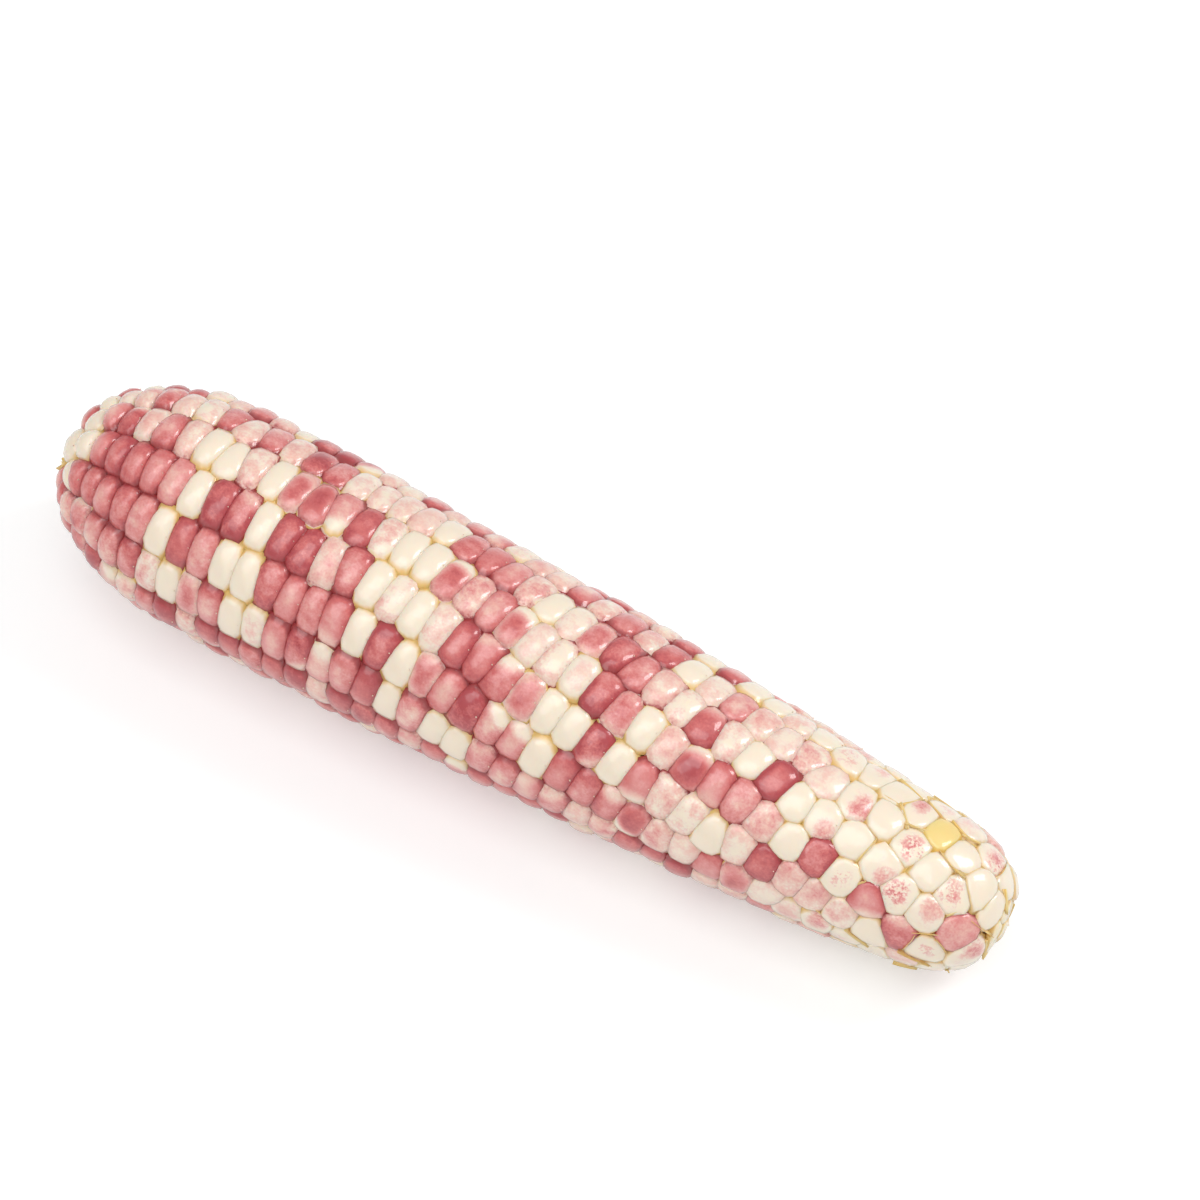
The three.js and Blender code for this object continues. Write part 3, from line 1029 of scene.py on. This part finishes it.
def cob_rings(draw):
    """The cob's rings from the scar's middle to the nub's: x, y, z, woodiness and bundles."""
    turn = np.arange(COB_SIDES) * 2 * np.pi / COB_SIDES
    spread = draw.random(BUNDLES) * 2 * np.pi
    reach = draw.uniform(PITH_RADIUS, SCAR_FACE_RADIUS - BUNDLE_FREE_EDGE, BUNDLES)
    bundles = np.stack([reach * np.cos(spread), reach * np.sin(spread)], axis=1)
    scar_x = outline.read(outline.x, outline.butt_end) + SCAR_SINK
    rings = []
    for i in range(SCAR_RINGS + 1):
        radius = SCAR_FACE_RADIUS * i / SCAR_RINGS
        y, z = radius * np.cos(turn), radius * np.sin(turn)
        relief, woody, stringy = scar_relief(y, z, bundles)
        rings.append((scar_x - relief, y, z, woody, stringy))
    start, end = outline.butt_end + CORE_FROM, outline.tip_end - CORE_TO
    for along in np.linspace(start, end, CORE_RINGS):
        heading = outline.read(outline.heading, along)
        depth = outline.read(outline.r, along) * FOOT_RATIO + CORE_CLEARANCE
        radius = outline.read(outline.r, along) - depth * math.cos(heading)
        x = np.full(COB_SIDES, outline.read(outline.x, along) + depth * math.sin(heading))
        wood = x * 0 + SIDE_WOODINESS
        rings.append((x, radius * np.cos(turn), radius * np.sin(turn), wood, x * 0))
    nub_x = outline.read(outline.x, outline.tip_end) - NUB_SINK
    for i in range(NUB_RINGS, -1, -1):
        radius = NUB_FACE_RADIUS * i / NUB_RINGS
        y, z = radius * np.cos(turn), radius * np.sin(turn)
        rough = [noise.noise(Vector((a, b, 1.0)) * 0.7) * NUB_ROUGHNESS for a, b in zip(y, z)]
        x = nub_x + NUB_BULGE * (1 - (radius / NUB_FACE_RADIUS) ** 2) + np.array(rough)
        rings.append((x, y, z, x * 0 + SIDE_WOODINESS, x * 0))
    return rings


def cob_mesh(rings):
    points = to_world(np.stack([ring[:3] for ring in rings]).transpose(0, 2, 1).reshape(-1, 3))
    mesh = bpy.data.meshes.new("cob")
    faces = []
    for ring in range(len(rings) - 1):
        for side in range(COB_SIDES):
            here, there = ring * COB_SIDES, (ring + 1) * COB_SIDES
            after = (side + 1) % COB_SIDES
            faces.append((here + side, here + after, there + after, there + side))
    mesh.from_pydata(points.tolist(), [], faces)
    for label, place in (("woody", 3), ("stringy", 4)):
        slot = mesh.attributes.new(label, "FLOAT", "POINT")
        values = np.concatenate([ring[place] for ring in rings])
        slot.data.foreach_set("value", values.astype(np.float32))
    work = bmesh.new()
    work.from_mesh(mesh)
    bmesh.ops.remove_doubles(work, verts=work.verts, dist=1e-7)
    bmesh.ops.recalc_face_normals(work, faces=work.faces)
    for face in work.faces:
        face.smooth = True
    work.to_mesh(mesh)
    work.free()
    return mesh


def make_cob(skin, draw):
    piece = new_object("cob", cob_mesh(cob_rings(draw)))
    piece.data.materials.append(skin)
    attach(piece, "root")
    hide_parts("cob_core")


# --- Finishes -------------------------------------------------------------------------------


def srgb(red, green, blue):
    """A colour as seen, 0 to 255, turned into the linear numbers that shaders use."""

    def linear(value):
        return value / 12.92 if value <= 0.04045 else ((value + 0.055) / 1.055) ** 2.4

    return (*[linear(value / 255) for value in (red, green, blue)], 1.0)


CREAM = srgb(249, 232, 210)
CREAM_SEAM = srgb(238, 196, 120)
YELLOW = srgb(248, 218, 140)
YELLOW_SEAM = srgb(230, 184, 78)
RED_SEAM = srgb(162, 58, 60)
PINKS = [
    (0.20, srgb(247, 226, 210)),
    (0.40, srgb(241, 194, 180)),
    (0.58, srgb(229, 150, 146)),
    (0.76, srgb(212, 110, 108)),
    (0.95, srgb(182, 70, 76)),
]
PINK_SPAN = 1.2


def new_material(name):
    material = bpy.data.materials.new(name)
    material.use_nodes = True
    material.node_tree.nodes.clear()
    return material, Graph(material.node_tree)


def finish_with(graph, shader):
    graph.add("ShaderNodeOutputMaterial", inputs={"Surface": shader})


def skin_attribute(graph, name, output="Fac"):
    return graph.add("ShaderNodeAttribute", {"attribute_name": name}, output=output)


def kernel_grain(graph):
    """Fine, middling and coarse unevenness of the skin, different on each kernel."""
    place = graph.add("ShaderNodeTexCoord", output="Object")
    seed = skin_attribute(graph, "seed")
    shifted = place.vector("ADD", graph.combine(seed * 0.7, seed * 1.3, seed * 0.4))
    fine = graph.noise(shifted, 2100.0, 2.0, 0.6) - 0.5
    blotch = graph.noise(shifted, 520.0, 2.0, 0.5) - 0.5
    cloud = graph.noise(shifted, 190.0, 1.0, 0.5) - 0.5
    return fine, blotch, cloud


def pinkness(graph, spot, grain):
    """How pink the skin is: own tone, cap, blush, marbling, and a rim term that partly paints
    sheen.
    """
    out_length, out_width, rim = spot
    fine, blotch, cloud = grain
    cap_length, cap_width, cap_strength = skin_attribute(graph, "cap", "Vector").parts()
    cap = (cap_length * out_length + cap_width * out_width + blotch * 0.5).ramp(0.15, 0.85)
    blush_length, blush_width, blush_strength = skin_attribute(graph, "blush", "Vector").parts()
    off_length, off_width = out_length - blush_length, out_width - blush_width
    seed = skin_attribute(graph, "seed")
    feather = graph.noise(graph.combine(out_length * 1.8, out_width * 3.4, seed * 40.0), 1.0) - 0.5
    off = off_length * off_length + off_width * off_width + feather * 0.9 + blotch
    grains = 1.0 - (fine + blotch).ramp(-0.14, 0.16)
    blush = (1.0 - off.ramp(-0.5, 1.5)) * (1.0 - grains * skin_attribute(graph, "grainy"))
    amount = skin_attribute(graph, "tone") + blush * blush_strength - cap * cap_strength
    # Paler middle, deeper rim: on red kernels this is partly painted sheen and painted shade.
    amount = amount + skin_attribute(graph, "rim_gain") * (rim * rim - 0.45)
    marbling = skin_attribute(graph, "marbling")
    return amount + marbling * (fine * 0.7 + blotch * 1.2 + cloud * 0.8)


def kernel_colour(graph, amount, seam):
    """From cream to red by how pink the skin is, and darker along the seam."""
    yellow = skin_attribute(graph, "yellow")
    cream = graph.mix(yellow, CREAM, YELLOW)
    cream = graph.mix(seam, cream, graph.mix(yellow, CREAM_SEAM, YELLOW_SEAM))
    pinks = graph.add(
        "ShaderNodeValToRGB", {"stops": PINKS}, {"Fac": amount * (1.0 / PINK_SPAN)}, "Color"
    )
    red = graph.mix(seam * amount.ramp(0.4, 0.8), pinks, RED_SEAM)
    return graph.mix(amount.ramp(0.08, 0.42), cream, red)


def kernel_skin():
    material, graph = new_material("waxy_kernel_skin")
    spot = skin_attribute(graph, "spot", "Vector").parts()
    grain = kernel_grain(graph)
    fine, blotch, cloud = grain
    seam = (spot[2] + blotch * 0.06).ramp(0.88, 1.02)
    colour = kernel_colour(graph, pinkness(graph, spot, grain), seam)
    bump_inputs = {"Strength": 0.2, "Distance": 0.0001, "Height": fine * 0.25 + blotch}
    bump = graph.add("ShaderNodeBump", inputs=bump_inputs)
    shader = graph.add(
        "ShaderNodeBsdfPrincipled",
        inputs={
            "Base Color": colour,
            "Roughness": 0.36 + cloud * 0.2,
            "IOR": 1.45,
            "Subsurface Weight": 0.3,
            "Subsurface Radius": (1.0, 0.5, 0.3),
            "Subsurface Scale": 0.0014,
            "Coat Weight": 0.9,
            "Coat Roughness": 0.11,
            "Normal": bump,
        },
    )
    finish_with(graph, shader)
    return material


def nib_finish():
    material, graph = new_material("silk_scar")
    place = graph.add("ShaderNodeTexCoord", output="Object")
    shade = graph.noise(place, 2500.0)
    colour = graph.mix(shade, srgb(250, 238, 220), srgb(226, 190, 160))
    inputs = {"Base Color": colour, "Roughness": 0.5}
    finish_with(graph, graph.add("ShaderNodeBsdfPrincipled", inputs=inputs))
    return material


def scale_finish():
    material, graph = new_material("dry_papery_scale")
    place = graph.add("ShaderNodeTexCoord", output="Object")
    out, across, _ = skin_attribute(graph, "spot", "Vector").parts()
    seed = skin_attribute(graph, "seed")
    veins = graph.noise(graph.combine(out * 0.6, across * 5.0, seed * 60.0), 2.0, 2.0)
    shade = graph.noise(place, 700.0, 2.0)
    colour = graph.mix(veins.ramp(0.35, 0.65), srgb(248, 224, 166), srgb(236, 184, 100))
    colour = graph.mix(seed.ramp(0.6, 1.0) * shade, colour, srgb(204, 144, 80))
    bump_inputs = {"Strength": 0.5, "Distance": 0.0001, "Height": veins}
    bump = graph.add("ShaderNodeBump", inputs=bump_inputs)
    inputs = {
        "Base Color": colour,
        "Roughness": 0.6,
        "Subsurface Weight": 0.3,
        "Subsurface Radius": (1.0, 0.7, 0.4),
        "Subsurface Scale": 0.001,
        "Normal": bump,
    }
    finish_with(graph, graph.add("ShaderNodeBsdfPrincipled", inputs=inputs))
    return material


def cob_finish():
    material, graph = new_material("cob_pith_and_fibre")
    place = graph.add("ShaderNodeTexCoord", output="Object")
    woody, stringy = skin_attribute(graph, "woody"), skin_attribute(graph, "stringy")
    sponge = graph.noise(place, 1300.0, 3.0, 0.6)
    fibre = graph.noise(place, 500.0, 3.0, 0.6)
    pith = graph.mix(sponge.ramp(0.35, 0.7), srgb(244, 232, 202), srgb(220, 196, 150))
    wood = graph.mix(fibre.ramp(0.3, 0.7), srgb(232, 204, 146), srgb(206, 166, 104))
    colour = graph.mix(woody, pith, wood)
    cells = {"Vector": place, "Scale": 950.0}
    strands = 1.0 - graph.add("ShaderNodeTexVoronoi", inputs=cells).ramp(0.18, 0.34)
    colour = graph.mix((strands * 0.5 + stringy) * woody * 0.8, colour, srgb(146, 98, 56))
    bump_inputs = {"Strength": 0.6, "Distance": 0.0003, "Height": sponge + fibre * 0.6}
    bump = graph.add("ShaderNodeBump", inputs=bump_inputs)
    inputs = {"Base Color": colour, "Roughness": 0.8, "Normal": bump}
    finish_with(graph, graph.add("ShaderNodeBsdfPrincipled", inputs=inputs))
    return material


# --- Floor, light and camera ----------------------------------------------------------------

EAR_MIDDLE = (cad_low + cad_high) / 2
VIEW_AZIMUTH, VIEW_ELEVATION = 29.8, 60.0
VIEW_DISTANCE = 0.665
LENS = 108.0
VIEW_RIGHT, VIEW_UP = 0.0138, 0.0138

FLOOR_SIZE, FLOOR_COLOUR, FLOOR_GLOW = 3.0, (0.88, 0.9, 0.9, 1), 0.26
FAR_FROM, FAR_TO = 0.35, 0.9
WORLD_LIGHT = 0.45

# The lamps: name, azimuth, elevation, distance, size and power.
LAMPS = [
    ("top_softbox", 0.0, 82.0, 1.1, (0.7, 0.55), 2.8),
    ("left_softbox", -30.0, 53.0, 1.0, (0.6, 0.6), 2.0),
    ("right_strip", 136.0, 44.0, 0.9, (0.24, 0.44), 2.9),
    ("front_fill", 20.0, 25.0, 1.2, (1.2, 0.8), 1.2),
]


def view_axes(azimuth, elevation):
    a, e = math.radians(azimuth), math.radians(elevation)
    back = Vector((math.sin(a) * math.cos(e), -math.cos(a) * math.cos(e), math.sin(e)))
    right = Vector((math.cos(a), math.sin(a), 0))
    return back, right, back.cross(right)


def make_camera():
    back, right, up = view_axes(VIEW_AZIMUTH, VIEW_ELEVATION)
    target = EAR_MIDDLE + right * VIEW_RIGHT + up * VIEW_UP
    camera = new_object("camera", bpy.data.cameras.new("camera"))
    camera.data.lens = LENS
    camera.location = target + back * VIEW_DISTANCE
    camera.rotation_euler = (-back).to_track_quat("-Z", "Y").to_euler()
    bpy.context.scene.camera = camera


def make_floor():
    """A pale floor that takes the ear's shadow near by and is plain white far away."""
    mesh = bpy.data.meshes.new("floor")
    signs = [(-1, -1), (1, -1), (1, 1), (-1, 1)]
    corners = [(x * FLOOR_SIZE, y * FLOOR_SIZE, 0) for x, y in signs]
    mesh.from_pydata(corners, [], [(0, 1, 2, 3)])
    floor = new_object("floor", mesh)
    material, graph = new_material("white_floor")
    matte = graph.add("ShaderNodeBsdfDiffuse", inputs={"Color": FLOOR_COLOUR})
    glow = graph.add("ShaderNodeEmission", inputs={"Strength": FLOOR_GLOW})
    both = graph.add("ShaderNodeAddShader", inputs={0: matte, 1: glow})
    white = graph.add("ShaderNodeEmission", inputs={"Strength": 1.0})
    place = graph.add("ShaderNodeTexCoord", output="Object")
    far = place.vector("LENGTH", output="Value").ramp(FAR_FROM, FAR_TO)
    shown = graph.add("ShaderNodeMixShader", inputs={0: far, 1: both, 2: white})
    seen = graph.add("ShaderNodeLightPath", output="Is Camera Ray")
    finish_with(graph, graph.add("ShaderNodeMixShader", inputs={0: seen, 1: matte, 2: shown}))
    mesh.materials.append(material)


def area_light(name, azimuth, elevation, distance, size, power):
    back, _, _ = view_axes(azimuth, elevation)
    light = bpy.data.lights.new(name, "AREA")
    light.shape = "RECTANGLE"
    light.size, light.size_y = size
    light.energy = power
    lamp = new_object(name, light)
    lamp.location = EAR_MIDDLE + back * distance
    lamp.rotation_euler = (-back).to_track_quat("-Z", "Y").to_euler()


def make_light():
    for lamp in LAMPS:
        area_light(*lamp)
    world = bpy.data.worlds.new("studio")
    world.use_nodes = True
    world.node_tree.nodes.clear()
    graph = Graph(world.node_tree)
    white = (1, 1, 1, 1)
    dim = graph.add("ShaderNodeBackground", inputs={"Color": white, "Strength": WORLD_LIGHT})
    bright = graph.add("ShaderNodeBackground", inputs={"Color": white, "Strength": 1.0})
    seen = graph.add("ShaderNodeLightPath", output="Is Camera Ray")
    sky = graph.add("ShaderNodeMixShader", inputs={0: seen, 1: dim, 2: bright})
    graph.add("ShaderNodeOutputWorld", inputs={"Surface": sky})
    bpy.context.scene.world = world


make_camera()
make_floor()
make_light()
draw = np.random.default_rng(SEED)
kernels = Kernels(draw)
make_kernels(kernels, kernel_skin(), nib_finish(), draw)
make_scales(kernels, scale_finish(), draw)
make_cob(cob_finish(), draw)

bpy.context.scene.view_settings.view_transform = "Standard"
